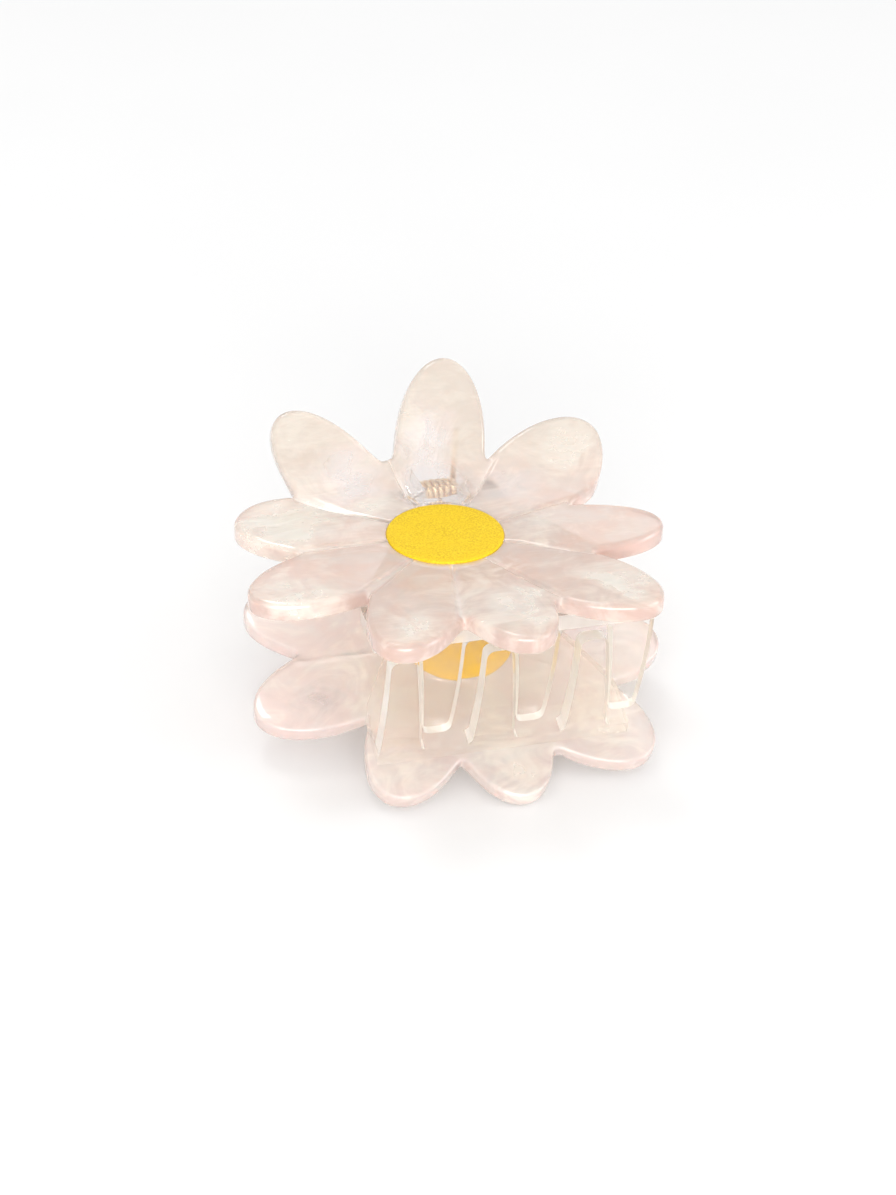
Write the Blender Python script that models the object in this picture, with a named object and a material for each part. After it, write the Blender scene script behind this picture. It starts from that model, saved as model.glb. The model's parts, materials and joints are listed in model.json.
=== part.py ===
# Daisy claw clip: two nine-petal acetate flowers, each carrying a clear comb, joined by a
# sprung hinge. The clip lies on its lower flower, closed.
#
# World frame: metres, +X along the hinge pin, +Y towards the handle petals, +Z up, table at z = 0.
# Jaw frame (millimetres): origin on the pin axis, x along the pin, y towards the handles,
# z away from the other jaw. The lower jaw is turned half a turn about y.

import bmesh
import bpy
import math
from mathutils import Matrix, Vector

MM = 0.001

# ---- driving dimensions, millimetres and degrees -------------------------------------------
HINGE_BACK = 22.0          # pin axis behind the flower centres
HINGE_DEPTH = 5.4          # pin axis to the inner face of each flower
JAW_ANGLE = 19.0           # angle between the two flower plates when closed
LOWER_TILT = 14.55         # how far the lower flower leans forward as it lies on the table

PLATE = 2.7                # acetate sheet thickness
CENTRE_HOLE = 8.75         # radius of the hole for the yellow centre
CORE = 19.5                # radius of the solid middle that the petals grow from
PETAL_MIDDLE = 0.62        # where along a petal its widest point lies
BLEND = 12                 # how sharply neighbouring petals meet (higher is sharper)
GROOVE = 0.45              # depth of the V groove between two petals
CROWN = 0.30               # how much a petal bulges between its grooves
TOP_ROUND = 0.9            # rounding of the outer edge
BOTTOM_ROUND = 0.5         # rounding of the inner edge
BEND_START = 10.0          # behind the flower centre, where the handle petals start to bend away
BEND_RADIUS = 10.0         # at the outer face
BEND_ANGLE = 52.0
COLUMNS_PER_PETAL = 14
BEND_ROWS = 5

# (direction in degrees counter-clockwise from +x seen from above, length, half width)
UPPER_PETALS = ((78.4, 34.5, 6.9), (126.5, 34.0, 6.4), (160.0, 31.5, 7.3),
                (200.5, 33.5, 6.9), (244.0, 32.5, 6.8), (280.0, 31.5, 6.6),
                (315.5, 35.5, 7.2), (354.0, 33.0, 6.7), (395.5, 35.5, 7.6))
LOWER_PETALS = ((76.5, 34.0, 7.0), (118.0, 33.5, 6.8), (161.0, 32.5, 6.8),
                (196.5, 34.0, 7.3), (240.0, 31.8, 7.2), (277.8, 30.8, 6.9),
                (313.4, 35.3, 7.8), (350.5, 32.0, 7.4), (396.5, 34.0, 6.8))
UPPER_SHIFT = -4.8         # flower centre along x from the middle of its comb
LOWER_SHIFT = -2.2

CENTRE_RADIUS = 8.70       # yellow centre
CENTRE_PROUD = 0.25        # it stands above the outer face by this much

GLUE = 0.05                # glue line between a flower and its comb
BASE_THICK = 2.4           # comb base plate
COMB_FRONT = 21.8          # front edge of the comb ahead of the flower centre
WALL_THICK = 2.5           # comb teeth, front to back
TOOTH_HEIGHT = 19.6        # from the flower's inner face to a tooth tip
TOOTH_LEAN = 3.2           # how far a tooth tip curves back
TOOTH_ROOT = 3.2           # half width at the root
TOOTH_TIP = 2.0            # half width at the tip
TOOTH_PITCH = 14.1
TEETH = 3
UPPER_FIRST_TOOTH = -10.6  # x of each comb's first tooth in its own jaw frame
LOWER_FIRST_TOOTH = -12.2  # the lower teeth pass to the left of the upper ones
NECK_HALF = 7.6            # half width of the comb's hinge end
NOTCH_HALF = 3.6           # half width of the opening the spring sits in
NOTCH_FRONT = -5.0
WELD = 0.003               # points of a comb nearer than this are one
LUG_RADIUS = 2.6
LUG_WIDTH = 1.8
LUG_OUTER = 5.8            # x of the outer lug's inner face
LUG_INNER = 3.7            # x of the inner lug's inner face

PIN_RADIUS = 1.0
PIN_CLEARANCE = 0.04
PIN_HALF = 7.75            # shank, to the inside of each riveted head
HEAD_RADIUS = 1.6
HEAD_THICK = 0.5

WIRE = 0.42                # spring wire radius
COIL_RADIUS = 3.0          # to the wire's centre
COIL_TURNS = 6
COIL_PITCH = 0.893
LEG = 12.5                 # straight leg from the coil to a handle petal


# ---- small helpers --------------------------------------------------------------------------
def clear_scene():
    for item in list(bpy.data.objects):
        bpy.data.objects.remove(item, do_unlink=True)


def material(name, colour, roughness, metallic=0.0, transmission=0.0):
    made = bpy.data.materials.new(name)
    made.use_nodes = True
    shader = made.node_tree.nodes["Principled BSDF"]
    shader.inputs["Base Color"].default_value = (*colour, 1.0)
    shader.inputs["Roughness"].default_value = roughness
    shader.inputs["Metallic"].default_value = metallic
    shader.inputs["Transmission Weight"].default_value = transmission
    return made


def finish(name, mesh, look, smooth_angle=35.0, unit=MM):
    """Turn a bmesh in millimetres into a named object; unit 1 keeps it in millimetres."""
    bmesh.ops.recalc_face_normals(mesh, faces=mesh.faces)
    bmesh.ops.scale(mesh, vec=(unit, unit, unit), verts=mesh.verts)
    data = bpy.data.meshes.new(name)
    mesh.to_mesh(data)
    mesh.free()
    data.materials.append(look)
    made = bpy.data.objects.new(name, data)
    bpy.context.scene.collection.objects.link(made)
    data.shade_smooth()
    data.set_sharp_from_angle(angle=math.radians(smooth_angle))
    return made


def ring_loops(mesh, loops, closed_ring=True):
    """Join equal-length loops of points into a skin; the last loop joins the first."""
    rows = [[mesh.verts.new(point) for point in loop] for loop in loops]
    count = len(rows[0])
    last = len(rows) if closed_ring else len(rows) - 1
    for i in range(last):
        here = rows[i]
        there = rows[(i + 1) % len(rows)]
        for j in range(count):
            k = (j + 1) % count
            mesh.faces.new((here[j], here[k], there[k], there[j]))
    return rows


def rounded_outline(corners, steps=4):
    """Corners are (x, y, radius); every corner with a radius becomes an arc."""
    points = []
    count = len(corners)
    for i in range(count):
        x, y, radius = corners[i]
        here = Vector((x, y))
        before = (Vector(corners[i - 1][:2]) - here).normalized()
        after = (Vector(corners[(i + 1) % count][:2]) - here).normalized()
        if radius == 0:
            points.append(here)
            continue
        half = before.angle(after) / 2
        middle = here + (before + after).normalized() * (radius / math.sin(half))
        start = here + before * (radius / math.tan(half)) - middle
        end = here + after * (radius / math.tan(half)) - middle
        sweep = start.angle_signed(end)
        for k in range(steps + 1):
            turn = Matrix.Rotation(-sweep * k / steps, 2)
            points.append(middle + turn @ start)
    return points


def extrude_outline(points, low, high, place):
    """Prism over an outline; place(u, v, h) gives the point for outline (u, v) at height h."""
    mesh = bmesh.new()
    loops = [[place(p.x, p.y, h) for p in points] for h in (low, high)]
    rows = ring_loops(mesh, loops, closed_ring=False)
    mesh.faces.new(rows[0])
    mesh.faces.new(rows[1])
    return mesh


def cylinder_x(radius, low, high, y=0.0, z=0.0, sides=32):
    circle = [(y + radius * math.cos(2 * math.pi * k / sides),
               z + radius * math.sin(2 * math.pi * k / sides)) for k in range(sides)]
    mesh = bmesh.new()
    rows = ring_loops(mesh, [[(x, cy, cz) for cy, cz in circle] for x in (low, high)], False)
    mesh.faces.new(rows[0])
    mesh.faces.new(rows[1])
    return mesh


def combine(target, tool, operation):
    """Apply one exact Boolean and drop the tool."""
    bpy.context.view_layer.update()
    step = target.modifiers.new("combine", "BOOLEAN")
    step.operation = operation
    step.solver = "EXACT"
    step.object = tool
    graph = bpy.context.evaluated_depsgraph_get()
    result = bpy.data.meshes.new_from_object(target.evaluated_get(graph))
    target.modifiers.clear()
    target.data = result
    bpy.data.objects.remove(tool, do_unlink=True)


def weld(item):
    """Merge the near-coincident points that a Boolean leaves along touching faces."""
    mesh = bmesh.new()
    mesh.from_mesh(item.data)
    bmesh.ops.remove_doubles(mesh, verts=mesh.verts, dist=WELD)
    bmesh.ops.dissolve_degenerate(mesh, dist=WELD, edges=mesh.edges)
    bmesh.ops.triangulate(mesh, faces=mesh.faces)
    mesh.to_mesh(item.data)
    mesh.free()


# ---- flowers --------------------------------------------------------------------------------
def petal_reach(direction, petal):
    """Distance from the flower centre to the far side of one petal's ellipse."""
    angle, length, half = petal
    turn = direction - math.radians(angle)
    along = math.cos(turn)
    across = math.sin(turn)
    centre = PETAL_MIDDLE * length
    axis = length - centre
    if along <= 0:
        return 0.0
    a = (along / axis) ** 2 + (across / half) ** 2
    b = -2 * centre * along / axis ** 2
    c = (centre / axis) ** 2 - 1
    inside = b * b - 4 * a * c
    if inside <= 0:
        return 0.0
    return (-b + math.sqrt(inside)) / (2 * a)


def outline_radius(direction, petals):
    total = CORE ** BLEND
    for petal in petals:
        total += petal_reach(direction, petal) ** BLEND
    return total ** (1.0 / BLEND)


def petal_columns(petals):
    """Directions round the flower with, for each, how far it lies across its petal (0 to 1)."""
    angles = [petal[0] for petal in petals]
    columns = []
    for i in range(len(angles)):
        before = angles[i - 1] - (360 if i == 0 else 0)
        after = angles[(i + 1) % len(angles)] + (360 if i == len(angles) - 1 else 0)
        start = (before + angles[i]) / 2
        end = (after + angles[i]) / 2
        columns.append((math.radians(start), 0.0))
        for k in range(COLUMNS_PER_PETAL - 1):
            across = 0.045 + 0.91 * k / (COLUMNS_PER_PETAL - 2)
            columns.append((math.radians(start + (end - start) * across), across))
    return columns


def bend_back(x, v, h):
    """Flat sheet point (h above the inner face) to its place on the bent handle petals."""
    inner_radius = BEND_RADIUS + PLATE
    past = max(v - BEND_START, 0.0)
    turn = min(past / BEND_RADIUS, math.radians(BEND_ANGLE))
    straight = past - BEND_RADIUS * turn
    flat = min(v, BEND_START)
    y = flat + (inner_radius - h) * math.sin(turn) + straight * math.cos(turn)
    z = inner_radius - (inner_radius - h) * math.cos(turn) + straight * math.sin(turn)
    return Vector((x, y, z))


def flower_plate(name, petals, shift, look):
    """One acetate flower in the jaw frame, its inner face HINGE_DEPTH from the pin."""
    columns = petal_columns(petals)
    rim = [outline_radius(angle, petals) * Vector((math.cos(angle), math.sin(angle)))
           for angle, across in columns]
    count = len(columns)
    loops = []
    for i in range(count):
        angle, across = columns[i]
        tangent = (rim[(i + 1) % count] - rim[i - 1]).normalized()
        inward = Vector((-tangent.y, tangent.x))
        hole = CENTRE_HOLE * Vector((math.cos(angle), math.sin(angle)))
        top = PLATE + CROWN * math.sin(math.pi * across)
        if across == 0.0:
            top = PLATE - GROOVE
        shoulder = rim[i] + inward * TOP_ROUND
        sole = rim[i] + inward * BOTTOM_ROUND
        section = [(hole, PLATE)]
        for part in (0.12, 0.34, 0.56, 0.78, 1.0):
            rise = min(part / 0.12, 1.0)
            section.append((hole.lerp(shoulder, part), PLATE + (top - PLATE) * rise))
        section.append((rim[i] + inward * 0.40 * TOP_ROUND, top - 0.16 * TOP_ROUND))
        section.append((rim[i] + inward * 0.10 * TOP_ROUND, top - 0.52 * TOP_ROUND))
        section.append((rim[i], top - TOP_ROUND))
        section.append((rim[i], BOTTOM_ROUND))
        section.append((rim[i] + inward * 0.3 * BOTTOM_ROUND, 0.3 * BOTTOM_ROUND))
        section.append((sole, 0.0))
        section.append((hole.lerp(sole, 0.55), 0.0))
        section.append((hole, 0.0))
        loops.append([(point.x, point.y, height) for point, height in section])
    mesh = bmesh.new()
    ring_loops(mesh, loops)
    arc = BEND_RADIUS * math.radians(BEND_ANGLE)
    for row in range(BEND_ROWS + 1):
        cut = BEND_START + arc * row / BEND_ROWS
        everything = list(mesh.verts) + list(mesh.edges) + list(mesh.faces)
        bmesh.ops.bisect_plane(mesh, geom=everything, dist=0.0001,
                               plane_co=(0, cut, 0), plane_no=(0, 1, 0))
    for vert in mesh.verts:
        placed = bend_back(*vert.co)
        vert.co = placed + Vector((shift, -HINGE_BACK, HINGE_DEPTH))
    bmesh.ops.triangulate(mesh, faces=[face for face in mesh.faces if len(face.verts) > 4])
    return finish(name, mesh, look)


def centre_disc(name, shift, look):
    """Yellow centre: a plug through the flower with a bevelled, slightly proud face."""
    profile = ((CENTRE_RADIUS, 0.0), (CENTRE_RADIUS, PLATE),
               (CENTRE_RADIUS - 0.08, PLATE + CENTRE_PROUD - 0.08),
               (CENTRE_RADIUS - 0.25, PLATE + CENTRE_PROUD))
    sides = 72
    loops = []
    for radius, height in profile:
        loops.append([(shift + radius * math.cos(2 * math.pi * k / sides),
                       -HINGE_BACK + radius * math.sin(2 * math.pi * k / sides),
                       HINGE_DEPTH + height) for k in range(sides)])
    mesh = bmesh.new()
    rows = ring_loops(mesh, loops, closed_ring=False)
    mesh.faces.new(rows[0])
    mesh.faces.new(rows[-1])
    return finish(name, mesh, look)


# ---- combs ----------------------------------------------------------------------------------
def comb_half(first):
    """Half width of a comb whose last tooth is flush with the base plate's end."""
    return first + (TEETH - 1) * TOOTH_PITCH + TOOTH_ROOT


def comb_base(half, look):
    top = HINGE_DEPTH - GLUE
    front = -HINGE_BACK - COMB_FRONT
    corners = [(-half, front, 0), (half, front, 0),
               (half, front + 9.0, 5.0), (NECK_HALF, -13.0, 5.0),
               (NECK_HALF, LUG_RADIUS, 0.6), (NOTCH_HALF, LUG_RADIUS, 0.3),
               (NOTCH_HALF, NOTCH_FRONT, 0.8), (-NOTCH_HALF, NOTCH_FRONT, 0.8),
               (-NOTCH_HALF, LUG_RADIUS, 0.3), (-NECK_HALF, LUG_RADIUS, 0.6),
               (-NECK_HALF, -13.0, 5.0), (-half, front + 9.0, 5.0)]
    mesh = extrude_outline(rounded_outline(corners), top - BASE_THICK, top,
                           lambda u, v, h: (u, v, h))
    return finish("comb_base", mesh, look, unit=1.0)


def tooth_sweep(x, s, depth):
    """Outline point s below the flower's inner face; past the base plate it curves back."""
    straight = GLUE + BASE_THICK
    curved = TOOTH_HEIGHT - straight
    turn = 2 * math.atan(TOOTH_LEAN / curved)
    radius = curved / math.sin(turn)
    angle = turn * max(s - straight, 0.0) / curved
    front = -HINGE_BACK - COMB_FRONT
    y = front + radius - (radius - depth) * math.cos(angle)
    z = HINGE_DEPTH - min(s, straight) - (radius - depth) * math.sin(angle)
    return Vector((x, y, z))


def comb_tooth(centre, half, look):
    """One tapering tooth, rooted inside the base plate with small fillets beside it."""
    foot = GLUE + 0.5 * BASE_THICK
    crotch = GLUE + BASE_THICK
    root = TOOTH_ROOT
    fillet = 1.0
    right = [(centre + root + fillet, foot, 0), (centre + root + fillet, crotch, 0),
             (centre + root, crotch + 0.05, fillet)]
    if centre + root + fillet > half:
        right = [(centre + root, foot, 0)]
    left = [(centre - root, crotch + 0.05, fillet), (centre - root - fillet, crotch, 0),
            (centre - root - fillet, foot, 0)]
    tip = [(centre + TOOTH_TIP, TOOTH_HEIGHT, 1.3), (centre - TOOTH_TIP, TOOTH_HEIGHT, 1.3)]
    corners = right + tip + left
    outline = rounded_outline(corners)
    mesh = bmesh.new()
    rows = []
    for depth in (0.0, WALL_THICK):
        rows.append([mesh.verts.new((p.x, p.y, depth)) for p in outline])
    count = len(outline)
    for j in range(count):
        k = (j + 1) % count
        mesh.faces.new((rows[0][j], rows[0][k], rows[1][k], rows[1][j]))
    mesh.faces.new(rows[0])
    mesh.faces.new(rows[1])
    for step in range(1, 6):
        cut = crotch + (TOOTH_HEIGHT - crotch) * step / 6
        everything = list(mesh.verts) + list(mesh.edges) + list(mesh.faces)
        bmesh.ops.bisect_plane(mesh, geom=everything, dist=0.0001,
                               plane_co=(0, cut, 0), plane_no=(0, 1, 0))
    for vert in mesh.verts:
        vert.co = tooth_sweep(*vert.co)
    return finish("tooth", mesh, look, unit=1.0)


def hinge_lug(low, look):
    """Ear that hangs from the comb base and holds the pin."""
    root = HINGE_DEPTH - GLUE - 0.5 * BASE_THICK
    points = [Vector((LUG_RADIUS, root)), Vector((-LUG_RADIUS - 4.0, root)),
              Vector((-LUG_RADIUS - 2.4, HINGE_DEPTH - GLUE - BASE_THICK))]
    for step in range(13):
        angle = math.radians(158 + (360 - 158) * step / 12)
        points.append(LUG_RADIUS * Vector((math.cos(angle), math.sin(angle))))
    mesh = extrude_outline(points, low, low + LUG_WIDTH, lambda u, v, h: (h, u, v))
    return finish("lug", mesh, look, unit=1.0)


def clear_comb(name, first, look):
    """Base, teeth and ears joined in millimetres, where Booleans are surest, then scaled."""
    half = comb_half(first)
    comb = comb_base(half, look)
    for tooth in range(TEETH):
        combine(comb, comb_tooth(first + TOOTH_PITCH * tooth, half, look), "UNION")
    combine(comb, hinge_lug(LUG_OUTER, look), "UNION")
    combine(comb, hinge_lug(-LUG_INNER - LUG_WIDTH, look), "UNION")
    hole = cylinder_x(PIN_RADIUS + PIN_CLEARANCE, -NECK_HALF - 2, NECK_HALF + 2)
    combine(comb, finish("bore", hole, look, unit=1.0), "DIFFERENCE")
    weld(comb)
    comb.data.transform(Matrix.Scale(MM, 4))
    comb.name = name
    comb.data.name = name
    comb.data.shade_smooth()
    comb.data.set_sharp_from_angle(angle=math.radians(30))
    return comb


# ---- hinge ----------------------------------------------------------------------------------
def hinge_pin(look):
    """Steel pin riveted over at both ends."""
    end = PIN_HALF + HEAD_THICK
    profile = ((-end, HEAD_RADIUS - 0.3), (-end + 0.25, HEAD_RADIUS), (-PIN_HALF, HEAD_RADIUS),
               (-PIN_HALF, PIN_RADIUS), (PIN_HALF, PIN_RADIUS), (PIN_HALF, HEAD_RADIUS),
               (end - 0.25, HEAD_RADIUS), (end, HEAD_RADIUS - 0.3))
    sides = 32
    loops = []
    for x, radius in profile:
        loops.append([(x, radius * math.cos(2 * math.pi * k / sides),
                       radius * math.sin(2 * math.pi * k / sides)) for k in range(sides)])
    mesh = bmesh.new()
    rows = ring_loops(mesh, loops, closed_ring=False)
    mesh.faces.new(rows[0])
    mesh.faces.new(rows[-1])
    return finish("hinge_pin", mesh, look)


def torsion_spring(look):
    """Close-wound coil with one leg up to the upper handle and one down to the lower."""
    half = COIL_TURNS * COIL_PITCH / 2
    path = [Vector((-half, COIL_RADIUS, -LEG)), Vector((-half, COIL_RADIUS, -LEG / 2))]
    steps = COIL_TURNS * 20
    for k in range(steps + 1):
        turn = 2 * math.pi * COIL_TURNS * k / steps
        x = -half + COIL_PITCH * COIL_TURNS * k / steps
        path.append(Vector((x, COIL_RADIUS * math.cos(turn), COIL_RADIUS * math.sin(turn))))
    path.append(Vector((half, COIL_RADIUS, LEG / 2)))
    path.append(Vector((half, COIL_RADIUS, LEG)))
    sides = 8
    loops = []
    for i in range(len(path)):
        ahead = path[min(i + 1, len(path) - 1)] - path[max(i - 1, 0)]
        along = ahead.normalized()
        side = Vector((1, 0, 0))
        side = (side - along * side.dot(along)).normalized()
        up = along.cross(side)
        loops.append([path[i] + WIRE * (side * math.cos(2 * math.pi * k / sides)
                                        + up * math.sin(2 * math.pi * k / sides))
                      for k in range(sides)])
    mesh = bmesh.new()
    rows = ring_loops(mesh, loops, closed_ring=False)
    mesh.faces.new(rows[0])
    mesh.faces.new(rows[-1])
    return finish("torsion_spring", mesh, look, smooth_angle=60)


# ---- assembly -------------------------------------------------------------------------------
def holder(name, parent, rotation):
    empty = bpy.data.objects.new(name, None)
    bpy.context.scene.collection.objects.link(empty)
    empty.parent = parent
    empty.rotation_euler = rotation
    return empty


def world_bounds(objects):
    bpy.context.view_layer.update()
    corners = [item.matrix_world @ vert.co for item in objects for vert in item.data.vertices]
    low = Vector([min(c[i] for c in corners) for i in range(3)])
    high = Vector([max(c[i] for c in corners) for i in range(3)])
    return low, high


def build():
    clear_scene()
    acetate = material("pearl_acetate", (0.93, 0.80, 0.77), 0.12, transmission=0.25)
    enamel = material("yellow_centre", (0.95, 0.68, 0.02), 0.55)
    clear = material("clear_plastic", (0.97, 0.95, 0.92), 0.04, transmission=0.9)
    steel = material("pin_steel", (0.60, 0.58, 0.55), 0.25, metallic=1.0)
    gold = material("spring_wire", (0.72, 0.55, 0.32), 0.28, metallic=1.0)

    lower_lean = math.radians(LOWER_TILT)
    upper_lean = math.radians(LOWER_TILT - JAW_ANGLE)
    middle_lean = math.radians(LOWER_TILT - JAW_ANGLE / 2)
    hinge = holder("hinge_axis", None, (0, 0, 0))
    upper = holder("upper_jaw", hinge, (upper_lean, 0, 0))
    lower = holder("lower_jaw", hinge, (0, 0, 0))
    lower.matrix_local = Matrix.Rotation(lower_lean, 4, "X") @ Matrix.Rotation(math.pi, 4, "Y")
    middle = holder("hinge_middle", hinge, (middle_lean, 0, 0))

    # The lower petals and shift are given as seen from above, so they are mirrored here.
    mirrored = tuple((180.0 - angle, length, half) for angle, length, half in LOWER_PETALS)
    mirrored = tuple(sorted(mirrored))
    members = {
        upper: [flower_plate("upper_flower", UPPER_PETALS, UPPER_SHIFT, acetate),
                centre_disc("upper_centre", UPPER_SHIFT, enamel),
                clear_comb("upper_comb", UPPER_FIRST_TOOTH, clear)],
        lower: [flower_plate("lower_flower", mirrored, -LOWER_SHIFT, acetate),
                centre_disc("lower_centre", -LOWER_SHIFT, enamel),
                clear_comb("lower_comb", LOWER_FIRST_TOOTH, clear)],
        middle: [hinge_pin(steel), torsion_spring(gold)],
    }
    pieces = []
    for parent, items in members.items():
        for item in items:
            item.parent = parent
            pieces.append(item)

    # Rest the clip on the table with the middle of its box over the origin.
    low, high = world_bounds(pieces)
    hinge.location = (-(low.x + high.x) / 2, -(low.y + high.y) / 2, -low.z)
    low, high = world_bounds(pieces)
    print("pin axis", [round(value, 6) for value in hinge.location])
    print("box", [round(value, 6) for value in low], [round(value, 6) for value in high])
    for item in pieces:
        print(item.name, [round(value * 1000, 2) for value in world_bounds([item])[0]],
              [round(value * 1000, 2) for value in world_bounds([item])[1]])


build()
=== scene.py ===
import bmesh
import bpy
import json
import math
from mathutils import Matrix, Vector


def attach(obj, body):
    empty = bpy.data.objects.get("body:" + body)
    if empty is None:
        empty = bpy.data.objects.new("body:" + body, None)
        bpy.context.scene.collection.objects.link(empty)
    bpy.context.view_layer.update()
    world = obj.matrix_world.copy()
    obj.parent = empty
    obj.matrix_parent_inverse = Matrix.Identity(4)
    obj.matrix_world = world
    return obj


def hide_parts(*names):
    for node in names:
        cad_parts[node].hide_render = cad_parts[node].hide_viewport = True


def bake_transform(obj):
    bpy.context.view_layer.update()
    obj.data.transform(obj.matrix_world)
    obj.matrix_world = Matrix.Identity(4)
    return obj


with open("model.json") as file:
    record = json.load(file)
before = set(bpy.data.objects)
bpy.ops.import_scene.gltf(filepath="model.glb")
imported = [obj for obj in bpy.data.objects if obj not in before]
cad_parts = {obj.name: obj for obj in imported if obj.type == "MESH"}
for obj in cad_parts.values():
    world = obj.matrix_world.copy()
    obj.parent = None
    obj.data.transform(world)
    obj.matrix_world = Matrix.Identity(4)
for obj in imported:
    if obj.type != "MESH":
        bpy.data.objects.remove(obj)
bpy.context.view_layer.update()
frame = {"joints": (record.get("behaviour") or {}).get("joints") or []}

MM = 0.001
PIN_AXIS = Vector(frame["joints"][0]["pos_m"])

# ---- sizes shared with the CAD, millimetres and degrees --------------------------------------
HINGE_BACK = 22.0
HINGE_DEPTH = 5.4
JAW_ANGLE = 19.0
LOWER_TILT = 14.55
PLATE = 2.7
CENTRE_HOLE = 8.75
CORE = 19.5
PETAL_MIDDLE = 0.62
BLEND = 12
GROOVE = 0.45
CROWN = 0.30
TOP_ROUND = 0.9
BOTTOM_ROUND = 0.5
BEND_START = 10.0
BEND_RADIUS = 10.0
BEND_ANGLE = 52.0
UPPER_PETALS = ((78.4, 34.5, 6.9), (126.5, 34.0, 6.4), (160.0, 31.5, 7.3),
                (200.5, 33.5, 6.9), (244.0, 32.5, 6.8), (280.0, 31.5, 6.6),
                (315.5, 35.5, 7.2), (354.0, 33.0, 6.7), (395.5, 35.5, 7.6))
LOWER_PETALS = ((76.5, 34.0, 7.0), (118.0, 33.5, 6.8), (161.0, 32.5, 6.8),
                (196.5, 34.0, 7.3), (240.0, 31.8, 7.2), (277.8, 30.8, 6.9),
                (313.4, 35.3, 7.8), (350.5, 32.0, 7.4), (396.5, 34.0, 6.8))
UPPER_SHIFT = -4.8
LOWER_SHIFT = -2.2
CENTRE_RADIUS = 8.74       # 0.04 wider than the CAD's, so that its glue gap hardly shows
CENTRE_PROUD = 0.25
GLUE = 0.05
BASE_THICK = 2.4
COMB_FRONT = 21.8
WALL_THICK = 2.5
TOOTH_HEIGHT = 19.6
TOOTH_LEAN = 3.2
TOOTH_ROOT = 3.2
TOOTH_TIP = 2.0
TOOTH_PITCH = 14.1
TEETH = 3
UPPER_FIRST_TOOTH = -10.6
LOWER_FIRST_TOOTH = -12.2
BASE_SIDE = 9.0            # length of the base plate's straight ends
BASE_CORNER = 5.0          # rounding between its ends and its hinge end
NECK_FRONT = -13.0
NECK_HALF = 7.6
NOTCH_HALF = 3.6
NOTCH_FRONT = -5.0
TOOTH_FILLET = 1.0
TIP_ROUND = 1.3
LUG_RADIUS = 2.6
LUG_WEB = (4.0, 2.4)       # how far an ear's web runs forward, at its root and below the plate
LUG_START = 158            # direction in which the round part of an ear begins
LUG_WIDTH = 1.8
LUG_OUTER = 5.8
LUG_INNER = 3.7
PIN_RADIUS = 1.0
PIN_CLEARANCE = 0.04
PIN_HALF = 7.75
HEAD_RADIUS = 1.6
HEAD_THICK = 0.5
WIRE = 0.42
COIL_RADIUS = 3.0
COIL_TURNS = 6
COIL_PITCH = 0.893
LEG = 12.5

# ---- finer detail that only the looks need ---------------------------------------------------
GROOVE_HALF = 0.5          # half width of the V groove
GROOVE_OFFSETS = (0.0, 0.12, 0.26, 0.40, 0.55, 0.8)
GROOVE_LIP = 1.15          # above 1, the groove's lips are softer than its bottom
GROOVE_LINE = 2.5          # the higher, the narrower the painted highlight along a groove
HOLE_EDGE = 0.12           # the plate is broken down this much at the centre hole
CROWN_RISE = 0.16          # share of a petal's length over which its bulge rises
CROWN_SHAPE = 0.75         # below 1, the bulge is flatter across its middle
EDGE_CUT = 0.35            # where an extra row crosses the outer edge, from its foot
PETAL_COLUMNS = 34         # between two grooves, besides the groove's own columns
TOP_ROWS = 18
TOP_START = 0.01           # the first row's share of the way from the hole to the edge
BOTTOM_ROWS = 14
EDGE_STEPS = 6
SOLE_STEPS = 3
DISC_SIDES = 128
DISC_STEPS = 4
DISC_FOOT = 0.1            # broken inner edge of a yellow centre
DISC_ROUND = 0.3           # soft rim of its face
TOOTH_ROWS = 18
LUG_STEPS = 24
BORE_SIDES = 48
POLISHED_EDGE = 0.22       # rounding of the comb's edges
POLISHED_ANGLE = 38        # edges sharper than this are rounded
PIN_SIDES = 64
HEAD_STEPS = 4
HEAD_FOOT = 0.12           # straight part of a riveted head
HEAD_DOME = 0.55           # how much narrower its domed end is
WIRE_SIDES = 20
WIRE_END = 0.8             # the cut ends of the wire are this much of its radius
LEG_STEPS = 13
TURN_STEPS = 48

UPPER_PLACE = (Matrix.Translation(PIN_AXIS)
               @ Matrix.Rotation(math.radians(LOWER_TILT - JAW_ANGLE), 4, "X"))
LOWER_PLACE = (Matrix.Translation(PIN_AXIS)
               @ Matrix.Rotation(math.radians(LOWER_TILT), 4, "X")
               @ Matrix.Rotation(math.pi, 4, "Y"))
MIDDLE_PLACE = (Matrix.Translation(PIN_AXIS)
                @ Matrix.Rotation(math.radians(LOWER_TILT - JAW_ANGLE / 2), 4, "X"))

# ---- camera, millimetres and degrees ---------------------------------------------------------
CAMERA_AIM = (-0.58, -1.56, 19.67)
CAMERA_DISTANCE = 375.9
CAMERA_AZIMUTH = 16.28     # the view turns this far from +Y towards +X
CAMERA_ELEVATION = 35.47
CAMERA_ROLL = 2.76
CAMERA_LENS = 100.45
SENSOR_WIDTH = 36.0

# ---- studio: lamps as (name, place, aim, size in metres, watts) ------------------------------
LAMPS = (("key", (-0.15, 0.30, 0.85), (0, 0, 0.01), (0.28, 0.28), 1.4),
         ("front", (-0.20, -0.72, 0.22), (0, 0, 0.015), (0.7, 0.35), 5.6),
         ("right", (0.75, -0.30, 0.25), (0, 0, 0.02), (0.3, 0.3), 1.5))
SKY_STRENGTH = 0.83
FLOOR_HALF = 2.0
FLOOR_DROP = 0.0001        # keeps the floor clear of the petals that lie on it
FLOOR_TONES = ((0.84, 0.84, 0.84), (0.86, 0.86, 0.86))

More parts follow.
